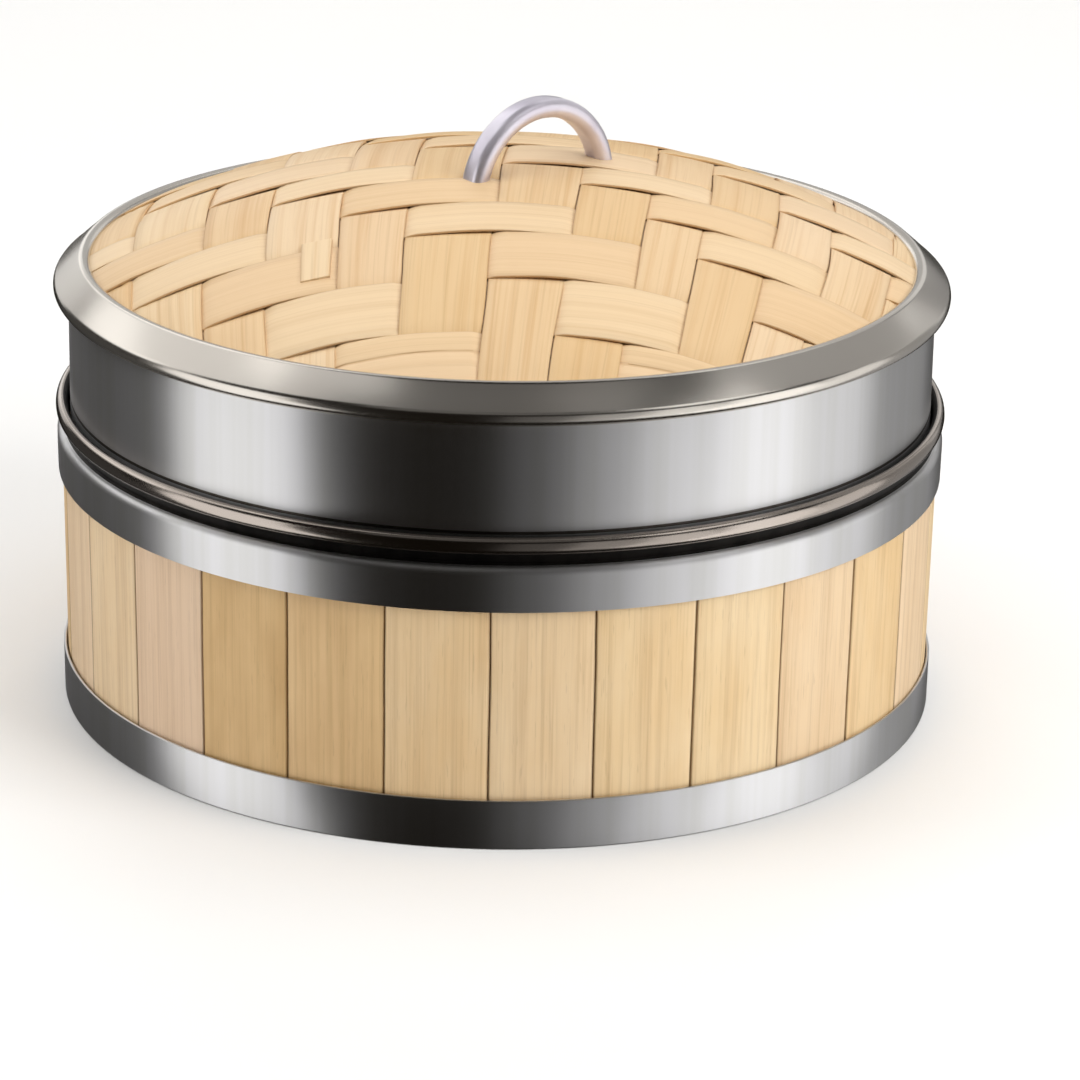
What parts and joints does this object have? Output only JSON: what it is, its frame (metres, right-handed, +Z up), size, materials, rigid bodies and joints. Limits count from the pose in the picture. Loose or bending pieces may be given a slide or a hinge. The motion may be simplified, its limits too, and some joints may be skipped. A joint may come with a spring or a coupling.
{
  "type": "bamboo steamer basket",
  "caption": "Round steamer basket of upright bamboo staves held by steel hoops, with a slatted floor and a lift-off domed woven lid with an arched steel handle.",
  "frame": {"origin": "centre of the flat foot that the basket stands on, at the surface", "axes": "+Z up out of the basket along its round axis, +X along the arch of the lid's handle"},
  "size_m": [0.2996, 0.2996, 0.2052],
  "materials": {
    "stave_bamboo": "smooth bamboo staves with fine upright fibres and a light oil finish",
    "floor_bamboo": "sawn and scraped bamboo, matt",
    "woven_bamboo": "split bamboo strips with long fibres, low sheen",
    "lining_bamboo": "narrow split bamboo strips, matt",
    "satin_steel": "satin stainless sheet with fine lines round the band",
    "polished_steel": "polished stainless bar"
  },
  "bodies": {
    "basket": {"stave_01": "stave_bamboo", "stave_02": "stave_bamboo", "stave_03": "stave_bamboo", "stave_04": "stave_bamboo", "stave_05": "stave_bamboo", "stave_06": "stave_bamboo", "stave_07": "stave_bamboo", "stave_08": "stave_bamboo", "stave_09": "stave_bamboo", "stave_10": "stave_bamboo", "stave_11": "stave_bamboo", "stave_12": "stave_bamboo", "stave_13": "stave_bamboo", "stave_14": "stave_bamboo", "stave_15": "stave_bamboo", "stave_16": "stave_bamboo", "stave_17": "stave_bamboo", "stave_18": "stave_bamboo", "stave_19": "stave_bamboo", "stave_20": "stave_bamboo", "stave_21": "stave_bamboo", "stave_22": "stave_bamboo", "stave_23": "stave_bamboo", "stave_24": "stave_bamboo", "stave_25": "stave_bamboo", "stave_26": "stave_bamboo", "stave_27": "stave_bamboo", "stave_28": "stave_bamboo", "upper_hoop": "satin_steel", "lower_hoop": "satin_steel", "floor_support_ring": "floor_bamboo", "cross_bar_1": "floor_bamboo", "cross_bar_2": "floor_bamboo", "cross_bar_3": "floor_bamboo", "floor_slat_01": "floor_bamboo", "floor_slat_02": "floor_bamboo", "floor_slat_03": "floor_bamboo", "floor_slat_04": "floor_bamboo", "floor_slat_05": "floor_bamboo", "floor_slat_06": "floor_bamboo", "floor_slat_07": "floor_bamboo", "floor_slat_08": "floor_bamboo", "floor_slat_09": "floor_bamboo", "floor_slat_10": "floor_bamboo", "floor_slat_11": "floor_bamboo", "floor_slat_12": "floor_bamboo", "floor_slat_13": "floor_bamboo", "floor_slat_14": "floor_bamboo"},
    "lid": {"lid_band": "satin_steel", "lid_rim": "satin_steel", "lid_bamboo_ring": "floor_bamboo", "woven_cover": "woven_bamboo", "woven_lining": "lining_bamboo", "handle": "polished_steel", "handle_plate_1": "satin_steel", "handle_plate_2": "satin_steel"}
  },
  "joints": [
    {"name": "lid_lift", "type": "slide", "parent": "basket", "child": "lid", "axis": [0, 0, 1], "range_m": [0, 0.15]}
  ]
}
